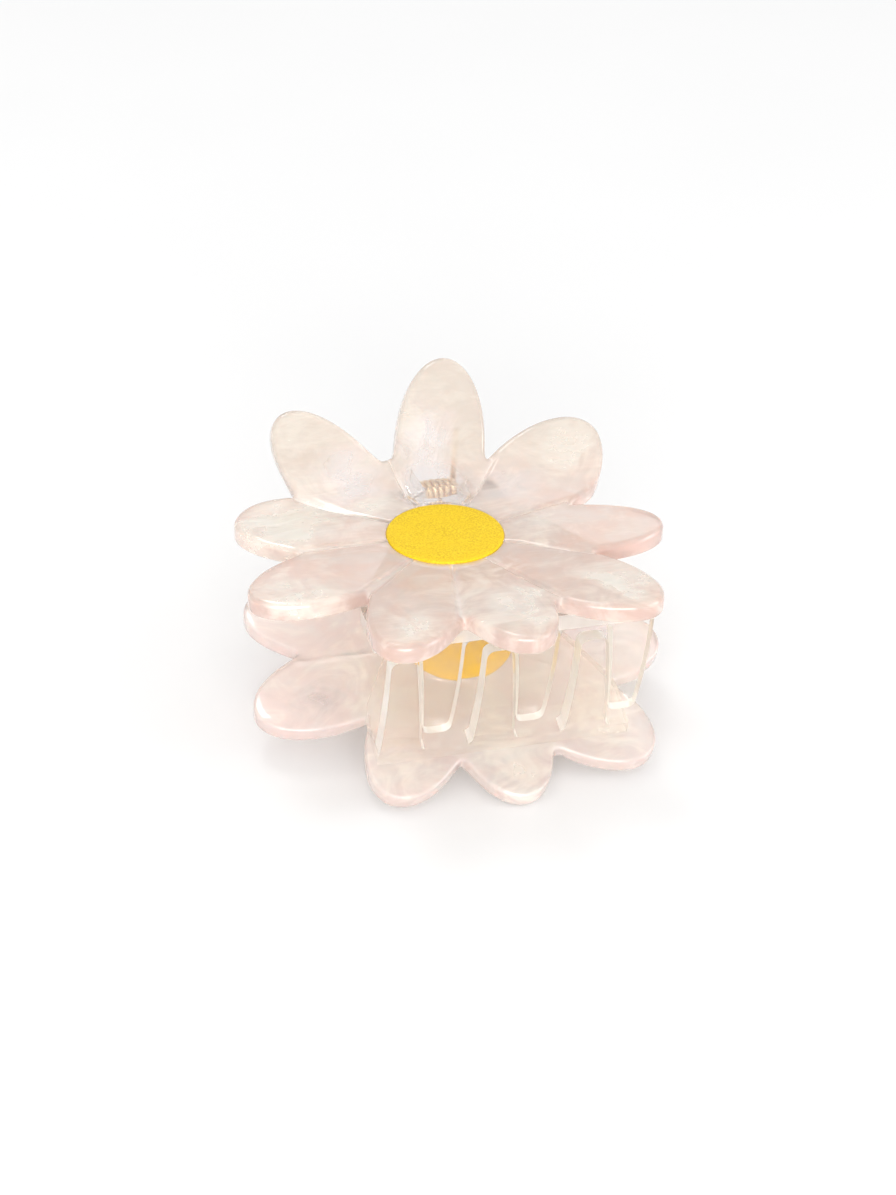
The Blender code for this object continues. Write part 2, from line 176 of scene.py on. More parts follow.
# ---- tones and refraction shared by several looks --------------------------------------------
PEARL_TONE = (0.90, 0.86, 0.78)
CLEAR_TONE = (0.94, 0.89, 0.88)
# painted shade: the darker tone that greys the bent handle petals
HANDLE_SHADE_TONE = (0.68, 0.62, 0.55)
# painted highlight: the pale tone laid along the grooves' lips
GROOVE_HIGHLIGHT_TONE = (0.95, 0.88, 0.82)
ACETATE_SHADOW = (0.97, 0.95, 0.94)
PLASTIC_SHADOW = (0.99, 0.98, 0.96)
ACETATE_IOR = 1.48
PLASTIC_IOR = 1.46


# ---- node helpers ----------------------------------------------------------------------------
class Nodes:
    """A material's node tree, with short calls to add nodes and links."""

    def __init__(self, name):
        self.material = bpy.data.materials.new(name)
        self.material.use_nodes = True
        self.tree = self.material.node_tree
        self.shader = self.tree.nodes["Principled BSDF"]
        self.output = self.tree.nodes["Material Output"]

    def set(self, node, **values):
        for key, value in values.items():
            socket = node.inputs[key.replace("_", " ")]
            if isinstance(value, bpy.types.NodeSocket):
                self.tree.links.new(value, socket)
            else:
                socket.default_value = value

    def shade(self, **values):
        self.set(self.shader, **values)

    def add(self, kind, settings=None, **values):
        node = self.tree.nodes.new(kind)
        for key, value in (settings or {}).items():
            setattr(node, key, value)
        self.set(node, **values)
        return node

    def place(self, scale):
        """Object coordinates in millimetres, times scale."""
        coordinates = self.add("ShaderNodeTexCoord")
        mapping = self.add("ShaderNodeMapping")
        mapping.inputs["Scale"].default_value = [1000.0 * value for value in scale]
        self.tree.links.new(coordinates.outputs["Object"], mapping.inputs["Vector"])
        return mapping.outputs["Vector"]

    def noise(self, scale, detail=2.0, roughness=0.5, distortion=0.0):
        node = self.add("ShaderNodeTexNoise", Vector=self.place(scale), Scale=1.0, Detail=detail,
                        Roughness=roughness, Distortion=distortion)
        return node.outputs["Fac"]

    def spread(self, value, low, high, to_low=0.0, to_high=1.0):
        node = self.add("ShaderNodeMapRange", {"interpolation_type": "SMOOTHSTEP"}, Value=value)
        self.set(node, From_Min=low, From_Max=high, To_Min=to_low, To_Max=to_high)
        return node.outputs["Result"]

    def math(self, operation, first, second):
        node = self.add("ShaderNodeMath", {"operation": operation})
        for socket, value in zip(node.inputs, (first, second)):
            if isinstance(value, bpy.types.NodeSocket):
                self.tree.links.new(value, socket)
            else:
                socket.default_value = value
        return node.outputs["Value"]

    def mix(self, factor, first, second):
        node = self.add("ShaderNodeMix", {"data_type": "RGBA"})
        for socket, value in zip((node.inputs[0], node.inputs[6], node.inputs[7]),
                                 (factor, first, second)):
            if isinstance(value, bpy.types.NodeSocket):
                self.tree.links.new(value, socket)
            elif socket.type == "RGBA":
                socket.default_value = (*value, 1.0)
            else:
                socket.default_value = value
        return node.outputs[2]

    def attribute(self, name):
        return self.add("ShaderNodeAttribute", {"attribute_name": name}).outputs["Fac"]

    def bump(self, height, strength, distance_mm):
        node = self.add("ShaderNodeBump", Height=height, Strength=strength,
                        Distance=distance_mm * MM)
        return node.outputs["Normal"]

    def clear_to_lamps(self, tint, share):
        """Lamps shine through this share of the surface, so that it casts a light shadow."""
        through = self.add("ShaderNodeBsdfTransparent", Color=(*tint, 1.0))
        path = self.add("ShaderNodeLightPath")
        factor = self.math("MULTIPLY", path.outputs["Is Shadow Ray"], share)
        mixed = self.add("ShaderNodeMixShader")
        self.tree.links.new(factor, mixed.inputs[0])
        self.tree.links.new(self.shader.outputs[0], mixed.inputs[1])
        self.tree.links.new(through.outputs[0], mixed.inputs[2])
        self.tree.links.new(mixed.outputs[0], self.output.inputs["Surface"])


# ---- materials -------------------------------------------------------------------------------
def pearl_acetate(name, deep_pink, pale_pink, edge_pink, edge_pearl, streaks, relief,
                  handle_shade_strength):
    """Pale pink translucent acetate with pearl clouds that catch the light like silk.

    streaks and relief say how strong the pearl streaks and the silky relief are; the last
    argument says how strongly the bent handle petals are greyed, as painted shade.
    """
    nodes = Nodes(name)
    cloud = nodes.noise((0.11, 0.14, 0.14), 5.0, 0.5, 1.6)
    streak = nodes.noise((0.12, 0.60, 0.60), 4.0, 0.55, 1.5)
    on_edge = nodes.attribute("edge")

    # Where the sheet is pearly and where it is clear
    pearl = nodes.math("ADD", nodes.attribute("pearl"),
                       nodes.spread(cloud, 0.25, 0.75, -0.35, 0.35))
    pearl = nodes.math("ADD", pearl, nodes.spread(streak, 0.3, 0.7, -streaks, streaks))
    pearl = nodes.spread(pearl, -0.2, 1.15)
    clear = nodes.math("ADD", nodes.attribute("clear"),
                       nodes.spread(cloud, 0.25, 0.75, 0.3, -0.3))
    clear = nodes.spread(clear, -0.1, 1.15)

    # Colour
    tone = nodes.spread(nodes.noise((0.13, 0.17, 0.17), 4.0, 0.5, 1.0), 0.35, 0.65)
    pink = nodes.mix(tone, deep_pink, pale_pink)
    colour = nodes.mix(pearl, pink, PEARL_TONE)
    colour = nodes.mix(clear, colour, CLEAR_TONE)
    edge = nodes.math("MULTIPLY", on_edge, 0.55)
    colour = nodes.mix(edge, colour, nodes.mix(pearl, edge_pink, edge_pearl))
    # Painted shade: the bent handle petals are greyed, less where the sheet is clear
    painted_handle_shade = nodes.math("MULTIPLY", nodes.attribute("painted_handle_shade"),
                       nodes.spread(clear, 0.0, 0.8, handle_shade_strength, 0.2 * handle_shade_strength))
    colour = nodes.mix(painted_handle_shade, colour, HANDLE_SHADE_TONE)
    # Painted highlight: the grooves' lips are paled and let less light through, standing in for
    # the light lines they catch
    groove = nodes.math("MULTIPLY", nodes.attribute("groove"), 0.7)
    colour = nodes.mix(groove, colour, GROOVE_HIGHLIGHT_TONE)

    # Silky relief, weaker in the clear parts and on the cut edge
    silk = nodes.noise((0.10, 0.24, 0.24), 3.0, 0.5, 1.2)
    fibre = nodes.noise((0.30, 1.6, 1.6), 3.0, 0.55, 0.8)
    height = nodes.math("ADD", silk, nodes.math("MULTIPLY", fibre, 0.06))
    height = nodes.math("SUBTRACT", height, 0.53)
    height = nodes.math("MULTIPLY", height, nodes.spread(pearl, 0.0, 1.0, 0.12, 1.0))
    height = nodes.math("MULTIPLY", height, nodes.spread(clear, 0.0, 0.8, 1.0, 0.03))
    height = nodes.math("MULTIPLY", height, nodes.spread(on_edge, 0.0, 0.6, 1.0, 0.2))

    # Light passes best through the clear parts
    through = nodes.math("SUBTRACT", nodes.spread(clear, 0.0, 1.0, 0.62, 0.88),
                         nodes.spread(pearl, 0.0, 1.0, 0.0, 0.35))
    through = nodes.math("SUBTRACT", through, nodes.math("MULTIPLY", groove, 0.3))
    roughness = nodes.math("SUBTRACT", nodes.spread(pearl, 0.0, 1.0, 0.14, 0.30),
                           nodes.spread(clear, 0.3, 1.0, 0.0, 0.12))
    nodes.shade(Base_Color=colour,
                Metallic=nodes.spread(pearl, 0.2, 1.0, 0.0, 0.20),
                Roughness=roughness,
                Transmission_Weight=through,
                IOR=ACETATE_IOR,
                Subsurface_Weight=0.3,
                Subsurface_Scale=0.0015,
                Subsurface_Radius=(1.0, 0.7, 0.6),
                Coat_Weight=0.8,
                Coat_Roughness=0.05,
                Coat_IOR=ACETATE_IOR,
                Normal=nodes.bump(height, relief, 0.8))
    nodes.clear_to_lamps(ACETATE_SHADOW, 0.5)
    return nodes.material


def yellow_enamel(name, dark, light, drifted):
    """Matt yellow with a fine sandy grain."""
    nodes = Nodes(name)
    grain = nodes.noise((4.0, 4.0, 4.0), 2.0, 0.6)
    drift = nodes.noise((0.3, 0.3, 0.3), 3.0)
    colour = nodes.mix(nodes.spread(grain, 0.3, 0.7), dark, light)
    colour = nodes.mix(nodes.spread(drift, 0.35, 0.65, 0.0, 0.35), colour, drifted)
    nodes.shade(Base_Color=colour,
                Roughness=nodes.spread(grain, 0.3, 0.7, 0.62, 0.45),
                Specular_IOR_Level=0.35,
                Normal=nodes.bump(grain, 0.5, 0.06))
    return nodes.material


def clear_plastic():
    """Polished clear acrylic, faintly warm, with a little handling haze."""
    nodes = Nodes("clear_plastic")
    haze = nodes.noise((0.4, 0.4, 0.4), 5.0, 0.6)
    waves = nodes.noise((0.12, 0.12, 0.12), 1.0)
    nodes.shade(Base_Color=(0.985, 0.965, 0.93, 1.0),
                Roughness=nodes.spread(haze, 0.35, 0.75, 0.015, 0.09),
                Transmission_Weight=1.0,
                IOR=PLASTIC_IOR,
                Normal=nodes.bump(waves, 0.12, 0.25))
    nodes.clear_to_lamps(PLASTIC_SHADOW, 0.95)
    return nodes.material


def glue_line():
    """Clear glue between comb and flower: light passes straight into the acetate.
    Its faint pale veil is partly glue haze and partly painted light that lifts the dark glued
    face.
    """
    nodes = Nodes("clear_glue")
    # painted light, partly glue haze: a faint pale veil over the glued face
    veil = nodes.spread(nodes.noise((0.25, 0.25, 0.25), 3.0), 0.3, 0.7, 0.10, 0.20)
    nodes.shade(Base_Color=(0.97, 0.93, 0.89, 1.0), Roughness=0.3, Alpha=veil)
    return nodes.material


def cut_edge(name, dark, light):
    """A sawn side of a comb in a half-clear tone, so that it reads as a band: partly real saw
    haze, partly painted light on the teeth's sides and painted shade on the upper base front.
    """
    nodes = Nodes(name)
    marks = nodes.noise((0.5, 0.5, 0.25), 2.0, 0.5)
    nodes.shade(Base_Color=nodes.mix(nodes.spread(marks, 0.3, 0.7), dark, light),
                Roughness=nodes.spread(marks, 0.3, 0.7, 0.30, 0.38),
                Transmission_Weight=0.55,
                IOR=PLASTIC_IOR,
                Coat_Weight=0.6,
                Coat_Roughness=0.05)
    nodes.clear_to_lamps(PLASTIC_SHADOW, 0.8)
    return nodes.material


def metal(name, colour, worn, roughness):
    """Drawn wire or rod: fine lines along its length and slightly uneven plating."""
    nodes = Nodes(name)
    lines = nodes.noise((0.6, 8.0, 8.0), 3.0, 0.6)
    patches = nodes.noise((0.5, 0.5, 0.5), 3.0, 0.55)
    nodes.shade(Base_Color=nodes.mix(nodes.spread(patches, 0.35, 0.7), colour, worn),
                Metallic=1.0,
                Roughness=nodes.spread(lines, 0.3, 0.7, roughness * 0.8, roughness * 1.3),
                Normal=nodes.bump(lines, 0.25, 0.02))
    return nodes.material


def floor_finish():
    nodes = Nodes("studio_floor")
    fine = nodes.noise((0.02, 0.02, 0.02), 2.0)
    nodes.shade(Base_Color=nodes.mix(fine, *FLOOR_TONES),
                Roughness=0.9, Specular_IOR_Level=0.1)
    return nodes.material


# ---- mesh helpers ----------------------------------------------------------------------------
def grid_mesh(loops, closed_loops=True):
    """Skin over equal rings of points; without closed_loops the first and last are capped."""
    mesh = bmesh.new()
    rows = [[mesh.verts.new(point) for point in loop] for loop in loops]
    count = len(rows[0])
    last = len(rows) if closed_loops else len(rows) - 1
    for i in range(last):
        here = rows[i]
        there = rows[(i + 1) % len(rows)]
        for j in range(count):
            k = (j + 1) % count
            mesh.faces.new((here[j], here[k], there[k], there[j]))
    if not closed_loops:
        mesh.faces.new(rows[0])
        mesh.faces.new(rows[-1])
    return mesh


def make_object(name, mesh, place, look, smooth_angle):
    """A bmesh in jaw millimetres becomes a named object in world metres."""
    bmesh.ops.recalc_face_normals(mesh, faces=mesh.faces)
    mesh.transform(place @ Matrix.Scale(MM, 4))
    data = bpy.data.meshes.new(name)
    mesh.to_mesh(data)
    mesh.free()
    if look:
        data.materials.append(look)
    made = bpy.data.objects.new(name, data)
    bpy.context.scene.collection.objects.link(made)
    data.shade_smooth()
    data.set_sharp_from_angle(angle=math.radians(smooth_angle))
    return made


def stand_in(piece, node, body):
    """The piece is shown in place of one CAD node and moves with that node's body."""
    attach(piece, body)
    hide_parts(node)


# ---- flowers ---------------------------------------------------------------------------------
def petal_reach(direction, petal):
    """Distance from the flower centre to the far side of one petal's ellipse."""
    angle, length, half = petal
    turn = direction - math.radians(angle)
    along = math.cos(turn)
    across = math.sin(turn)
    centre = PETAL_MIDDLE * length
    axis = length - centre
    if along <= 0:
        return 0.0
    a = (along / axis) ** 2 + (across / half) ** 2
    b = -2 * centre * along / axis ** 2
    c = (centre / axis) ** 2 - 1
    inside = b * b - 4 * a * c
    if inside <= 0:
        return 0.0
    return (-b + math.sqrt(inside)) / (2 * a)


def outline_radius(direction, petals):
    total = CORE ** BLEND
    for petal in petals:
        total += petal_reach(direction, petal) ** BLEND
    return total ** (1.0 / BLEND)


def petal_columns(petals):
    """(angle at the rim, angle at the hole, distance from the groove or None, share across)."""
    angles = [petal[0] for petal in petals]
    columns = []
    for i in range(len(angles)):
        before = angles[i - 1] - (360 if i == 0 else 0)
        after = angles[(i + 1) % len(angles)] + (360 if i == len(angles) - 1 else 0)
        start = math.radians((before + angles[i]) / 2)
        end = math.radians((after + angles[i]) / 2)
        left = [(start + math.asin(gap / outline_radius(start, petals)),
                 start + math.asin(gap / CENTRE_HOLE), gap) for gap in GROOVE_OFFSETS]
        right = [(end - math.asin(gap / outline_radius(end, petals)),
                  end - math.asin(gap / CENTRE_HOLE), gap) for gap in GROOVE_OFFSETS[1:]]
        between = []
        for k in range(1, PETAL_COLUMNS + 1):
            share = k / (PETAL_COLUMNS + 1)
            between.append((left[-1][0] + (right[-1][0] - left[-1][0]) * share,
                            left[-1][1] + (right[-1][1] - left[-1][1]) * share,
                            None))
        for rim, hole, gap in left + between + right[::-1]:
            columns.append((rim, hole, gap, (rim - start) / (end - start)))
    return columns


def bend_back(x, v, h):
    """Flat sheet point (h above the inner face) to its place on the bent handle petals."""
    inner_radius = BEND_RADIUS + PLATE
    past = max(v - BEND_START, 0.0)
    turn = min(past / BEND_RADIUS, math.radians(BEND_ANGLE))
    straight = past - BEND_RADIUS * turn
    flat = min(v, BEND_START)
    y = flat + (inner_radius - h) * math.sin(turn) + straight * math.cos(turn)
    z = inner_radius - (inner_radius - h) * math.cos(turn) + straight * math.sin(turn)
    return Vector((x, y, z))


def groove_cut(gap):
    """Depth of the V groove at a distance from its middle line, with softened lips."""
    if gap is None:
        return 0.0
    share = max(0.0, 1.0 - gap / GROOVE_HALF)
    return GROOVE * share ** GROOVE_LIP


def flower_section(rim, inward, hole, gap, across):
    """One radial slice through the plate as (flat point, height, edge share)."""
    top = PLATE + CROWN * math.sin(math.pi * across) ** CROWN_SHAPE
    cut = groove_cut(gap)
    shoulder = rim + inward * TOP_ROUND
    sole = rim + inward * BOTTOM_ROUND
    section = [(hole, PLATE - HOLE_EDGE, 0.0)]
    for row in range(TOP_ROWS):
        share = TOP_START + (1 - TOP_START) * row / (TOP_ROWS - 1)
        rise = min(share / CROWN_RISE, 1.0)
        rise = rise * rise * (3 - 2 * rise)
        height = PLATE + (top - PLATE) * rise - cut
        section.append((hole.lerp(shoulder, share), height, 0.0))
    for step in range(1, EDGE_STEPS + 1):
        turn = math.pi / 2 * step / EDGE_STEPS
        point = rim + inward * TOP_ROUND * (1 - math.sin(turn))
        height = top - cut - TOP_ROUND * (1 - math.cos(turn))
        section.append((point, height, turn / (math.pi / 2)))
    low = BOTTOM_ROUND + EDGE_CUT * (top - cut - TOP_ROUND - BOTTOM_ROUND)
    section.append((rim, low, 1.0))
    for step in range(SOLE_STEPS + 1):
        turn = math.pi / 2 * step / SOLE_STEPS
        point = rim + inward * BOTTOM_ROUND * (1 - math.cos(turn))
        section.append((point, BOTTOM_ROUND * (1 - math.sin(turn)), 1.0 - step / SOLE_STEPS))
    for row in range(1, BOTTOM_ROWS + 1):
        section.append((sole.lerp(hole, row / BOTTOM_ROWS), 0.0, 0.0))
    return section


def cloudiness(point, patches):
    """How strongly a flat point lies in any of the patches (direction, distance, size, power)."""
    strongest = 0.0
    for direction, distance, size, power in patches:
        angle = math.radians(direction)
        centre = distance * Vector((math.cos(angle), math.sin(angle)))
        away = (point - centre).length / size
        strongest = max(strongest, power * math.exp(-away * away))
    return strongest


def flower(name, petals, shift, pearl, clear, place, look):
    """One flower plate; its material reads the masks that are stored on its points."""
    columns = petal_columns(petals)
    rim = [outline_radius(column[0], petals) * Vector((math.cos(column[0]), math.sin(column[0])))
           for column in columns]
    loops = []
    masks = []
    labels = ("pearl", "clear", "edge", "painted_handle_shade", "groove")
    for i, (angle, hole_angle, gap, across) in enumerate(columns):
        tangent = (rim[(i + 1) % len(rim)] - rim[i - 1]).normalized()
        inward = Vector((-tangent.y, tangent.x))
        hole = CENTRE_HOLE * Vector((math.cos(hole_angle), math.sin(hole_angle)))
        loop = []
        for point, height, edge in flower_section(rim[i], inward, hole, gap, across):
            placed = bend_back(point.x, point.y, height)
            loop.append(placed + Vector((shift, -HINGE_BACK, HINGE_DEPTH)))
            # how far a point lies into the bend: the mask for the painted shade on the handle
            # petals
            painted_handle_shade = min(max((point.y - BEND_START) / BEND_RADIUS, 0.0), 1.0)
            # painted highlight along the grooves, on the top face only
            line = 0.0
            if height > PLATE / 2:
                line = (groove_cut(gap) / GROOVE) ** GROOVE_LINE
            masks.append((cloudiness(point, pearl), cloudiness(point, clear), edge, painted_handle_shade,
                          line))
        loops.append(loop)
    piece = make_object(name, grid_mesh(loops), place, look, 70)
    for k, label in enumerate(labels):
        layer = piece.data.attributes.new(label, "FLOAT", "POINT")
        layer.data.foreach_set("value", [mask[k] for mask in masks])
    return piece


def centre_disc(name, shift, place, look):
    """Yellow centre: a round plug, slightly proud, with a soft rim."""
    face = PLATE + CENTRE_PROUD
    profile = [(CENTRE_RADIUS - DISC_FOOT, 0.0), (CENTRE_RADIUS, DISC_FOOT),
               (CENTRE_RADIUS, PLATE - DISC_FOOT)]
    for step in range(DISC_STEPS + 1):
        turn = math.pi / 2 * step / DISC_STEPS
        profile.append((CENTRE_RADIUS - DISC_ROUND * (1 - math.cos(turn)),
                        face - DISC_ROUND * (1 - math.sin(turn))))
    for share in (0.8, 0.5, 0.2):
        profile.append(((CENTRE_RADIUS - DISC_ROUND) * share, face))
    loops = []
    for radius, height in profile:
        loops.append([(shift + radius * math.cos(2 * math.pi * k / DISC_SIDES),
                       -HINGE_BACK + radius * math.sin(2 * math.pi * k / DISC_SIDES),
                       HINGE_DEPTH + height) for k in range(DISC_SIDES)])
    return make_object(name, grid_mesh(loops, False), place, look, 50)


# ---- combs -----------------------------------------------------------------------------------
def rounded_outline(corners, steps=8):
    """Corners are (x, y, radius); every corner with a radius becomes an arc."""
    points = []
    count = len(corners)
    for i in range(count):
        x, y, radius = corners[i]
        here = Vector((x, y))
        before = (Vector(corners[i - 1][:2]) - here).normalized()
        after = (Vector(corners[(i + 1) % count][:2]) - here).normalized()
        if radius == 0:
            points.append(here)
            continue
        half = before.angle(after) / 2
        middle = here + (before + after).normalized() * (radius / math.sin(half))
        start = here + before * (radius / math.tan(half)) - middle
        end = here + after * (radius / math.tan(half)) - middle
        sweep = start.angle_signed(end)
        for k in range(steps + 1):
            turn = Matrix.Rotation(-sweep * k / steps, 2)
            points.append(middle + turn @ start)
    return points


def prism(points, low, high, place):
    """Solid over an outline; place(u, v, h) gives the point for outline (u, v) at height h."""
    return grid_mesh([[place(p.x, p.y, h) for p in points] for h in (low, high)], False)


def combine(target, tool, operation):
    """Apply one exact Boolean and drop the tool."""
    bpy.context.view_layer.update()
    step = target.modifiers.new("combine", "BOOLEAN")
    step.operation = operation
    step.solver = "EXACT"
    step.object = tool
    graph = bpy.context.evaluated_depsgraph_get()
    result = bpy.data.meshes.new_from_object(target.evaluated_get(graph))
    target.modifiers.clear()
    target.data = result
    bpy.data.objects.remove(tool, do_unlink=True)


def comb_half(first):
    """Half width of a comb whose last tooth is flush with the base plate's end."""
    return first + (TEETH - 1) * TOOTH_PITCH + TOOTH_ROOT


def comb_base(half):
    top = HINGE_DEPTH - GLUE
    front = -HINGE_BACK - COMB_FRONT
    corners = [(-half, front, 0), (half, front, 0),
               (half, front + BASE_SIDE, BASE_CORNER), (NECK_HALF, NECK_FRONT, BASE_CORNER),
               (NECK_HALF, LUG_RADIUS, 0.6), (NOTCH_HALF, LUG_RADIUS, 0.3),
               (NOTCH_HALF, NOTCH_FRONT, 0.8), (-NOTCH_HALF, NOTCH_FRONT, 0.8),
               (-NOTCH_HALF, LUG_RADIUS, 0.3), (-NECK_HALF, LUG_RADIUS, 0.6),
               (-NECK_HALF, NECK_FRONT, BASE_CORNER), (-half, front + BASE_SIDE, BASE_CORNER)]
    return prism(rounded_outline(corners), top - BASE_THICK, top, lambda u, v, h: (u, v, h))


def tooth_sweep(x, s, depth):
    """Outline point s below the flower's inner face, curved back towards the hinge."""
    straight = GLUE + BASE_THICK
    curved = TOOTH_HEIGHT - straight
    turn = 2 * math.atan(TOOTH_LEAN / curved)
    radius = curved / math.sin(turn)
    angle = turn * max(s - straight, 0.0) / curved
    front = -HINGE_BACK - COMB_FRONT
    y = front + radius - (radius - depth) * math.cos(angle)
    z = HINGE_DEPTH - min(s, straight) - (radius - depth) * math.sin(angle)
    return Vector((x, y, z))


def comb_tooth(centre, half):
    """One tapering tooth, rooted inside the base plate with small fillets beside it."""
    foot = GLUE + 0.5 * BASE_THICK
    crotch = GLUE + BASE_THICK
    beside = TOOTH_ROOT + TOOTH_FILLET
    right = [(centre + beside, foot, 0), (centre + beside, crotch, 0),
             (centre + TOOTH_ROOT, crotch + 0.05, TOOTH_FILLET)]
    if centre + beside > half:
        right = [(centre + TOOTH_ROOT, foot, 0)]
    left = [(centre - TOOTH_ROOT, crotch + 0.05, TOOTH_FILLET), (centre - beside, crotch, 0),
            (centre - beside, foot, 0)]
    tip = [(centre + TOOTH_TIP, TOOTH_HEIGHT, TIP_ROUND),
           (centre - TOOTH_TIP, TOOTH_HEIGHT, TIP_ROUND)]
    mesh = prism(rounded_outline(right + tip + left), 0.0, WALL_THICK, lambda u, v, h: (u, v, h))
    for step in range(1, TOOTH_ROWS):
        cut = crotch + (TOOTH_HEIGHT - crotch) * step / TOOTH_ROWS
        everything = list(mesh.verts) + list(mesh.edges) + list(mesh.faces)
        bmesh.ops.bisect_plane(mesh, geom=everything, dist=0.0001,
                               plane_co=(0, cut, 0), plane_no=(0, 1, 0))
    for vert in mesh.verts:
        vert.co = tooth_sweep(*vert.co)
    return mesh


def hinge_lug(low):
    """Ear that hangs from the comb base and holds the pin."""
    root = HINGE_DEPTH - GLUE - 0.5 * BASE_THICK
    points = [Vector((LUG_RADIUS, root)), Vector((-LUG_RADIUS - LUG_WEB[0], root)),
              Vector((-LUG_RADIUS - LUG_WEB[1], HINGE_DEPTH - GLUE - BASE_THICK))]
    for step in range(LUG_STEPS + 1):
        angle = math.radians(LUG_START + (360 - LUG_START) * step / LUG_STEPS)
        points.append(LUG_RADIUS * Vector((math.cos(angle), math.sin(angle))))
    return prism(points, low, low + LUG_WIDTH, lambda u, v, h: (h, u, v))


def pin_bore():
    """Rod that is cut out of both ears, longer than the comb is wide there."""
    radius = PIN_RADIUS + PIN_CLEARANCE
    ring = [Vector((radius * math.cos(2 * math.pi * k / BORE_SIDES),
                    radius * math.sin(2 * math.pi * k / BORE_SIDES))) for k in range(BORE_SIDES)]
    return prism(ring, -NECK_HALF - 2, NECK_HALF + 2, lambda u, v, h: (h, u, v))


def assign_comb_looks(comb):
    """Number the faces: 0 polished, 1 glued, 2 sawn sides of the teeth, 3 base plate's front."""
    glued = (HINGE_DEPTH - GLUE) - 0.01
    under_base = HINGE_DEPTH - GLUE - BASE_THICK
    for face in comb.data.polygons:
        at_front = face.center.y < -HINGE_BACK
        on_tooth = face.center.z < under_base - 0.1 and at_front
        sawn = abs(face.normal.x) > 0.5 or face.normal.z < -0.5
        rim = face.center.z > under_base and abs(face.normal.z) < 0.3 and at_front
        if face.center.z > glued:
            face.material_index = 1
        elif on_tooth and sawn:
            face.material_index = 2
        elif rim:
            face.material_index = 3


def clear_comb(name, first, place, looks):
    """Base, teeth and ears joined in millimetres, where Booleans are surest, then placed."""
    half = comb_half(first)
    flat = Matrix.Scale(1 / MM, 4)      # undoes the scaling in make_object
    comb = make_object(name, comb_base(half), flat, None, 30)
    tools = [comb_tooth(first + TOOTH_PITCH * tooth, half) for tooth in range(TEETH)]
    tools += [hinge_lug(LUG_OUTER), hinge_lug(-LUG_INNER - LUG_WIDTH)]
    for tool in tools:
        combine(comb, make_object("tool", tool, flat, None, 30), "UNION")
    combine(comb, make_object("tool", pin_bore(), flat, None, 30), "DIFFERENCE")
    comb.data.materials.clear()
    for look in looks:
        comb.data.materials.append(look)
    assign_comb_looks(comb)
    edges = comb.modifiers.new("polished_edges", "BEVEL")
    edges.width = POLISHED_EDGE * MM
    edges.segments = 3
    edges.limit_method = "ANGLE"
    edges.angle_limit = math.radians(POLISHED_ANGLE)
    edges.use_clamp_overlap = True
    comb.data.transform(place @ Matrix.Scale(MM, 4))
    comb.data.shade_smooth()
    comb.data.set_sharp_from_angle(angle=math.radians(50))
    return comb


# ---- hinge -----------------------------------------------------------------------------------
def hinge_pin(look):
    """Steel pin riveted over at both ends, with slightly domed heads."""
    half = [(PIN_HALF, PIN_RADIUS), (PIN_HALF, HEAD_RADIUS - 0.06)]
    for step in range(HEAD_STEPS + 1):
        turn = math.pi / 2 * step / HEAD_STEPS
        half.append((PIN_HALF + HEAD_FOOT + (HEAD_THICK - HEAD_FOOT) * math.sin(turn),
                     HEAD_RADIUS - HEAD_DOME * (1 - math.cos(turn))))
    half.append((PIN_HALF + HEAD_THICK, 0.4))
    profile = [(-x, radius) for x, radius in reversed(half)] + half
    loops = [[(x, radius * math.cos(2 * math.pi * k / PIN_SIDES),
               radius * math.sin(2 * math.pi * k / PIN_SIDES)) for k in range(PIN_SIDES)]
             for x, radius in profile]
    return make_object("steel_pin", grid_mesh(loops, False), MIDDLE_PLACE, look, 40)


def torsion_spring(look):
    """Close-wound coil with one leg up to the upper handle and one down to the lower."""
    half = COIL_TURNS * COIL_PITCH / 2
    path = []
    for step in range(LEG_STEPS):
        path.append(Vector((-half, COIL_RADIUS, -LEG + LEG * step / LEG_STEPS)))
    steps = COIL_TURNS * TURN_STEPS
    for k in range(steps + 1):
        turn = 2 * math.pi * COIL_TURNS * k / steps
        x = -half + COIL_PITCH * COIL_TURNS * k / steps
        path.append(Vector((x, COIL_RADIUS * math.cos(turn), COIL_RADIUS * math.sin(turn))))
    for step in range(1, LEG_STEPS + 1):
        path.append(Vector((half, COIL_RADIUS, LEG * step / LEG_STEPS)))
    loops = []
    for i in range(len(path)):
        ahead = path[min(i + 1, len(path) - 1)] - path[max(i - 1, 0)]
        along = ahead.normalized()
        side = Vector((1, 0, 0))
        side = (side - along * side.dot(along)).normalized()
        up = along.cross(side)
        radius = WIRE if 0 < i < len(path) - 1 else WIRE * WIRE_END
        loops.append([path[i] + radius * (side * math.cos(2 * math.pi * k / WIRE_SIDES)
                                          + up * math.sin(2 * math.pi * k / WIRE_SIDES))
                      for k in range(WIRE_SIDES)])
    return make_object("gold_spring", grid_mesh(loops, False), MIDDLE_PLACE, look, 60)


# ---- studio ----------------------------------------------------------------------------------
def area_light(name, place, aim, size, watts):
    data = bpy.data.lights.new(name, "AREA")
    data.shape = "RECTANGLE"
    data.size = size[0]
    data.size_y = size[1]
    data.energy = watts
    lamp = bpy.data.objects.new(name, data)
    bpy.context.scene.collection.objects.link(lamp)
    lamp.location = place
    lamp.rotation_euler = (Vector(aim) - Vector(place)).to_track_quat("-Z", "Y").to_euler()


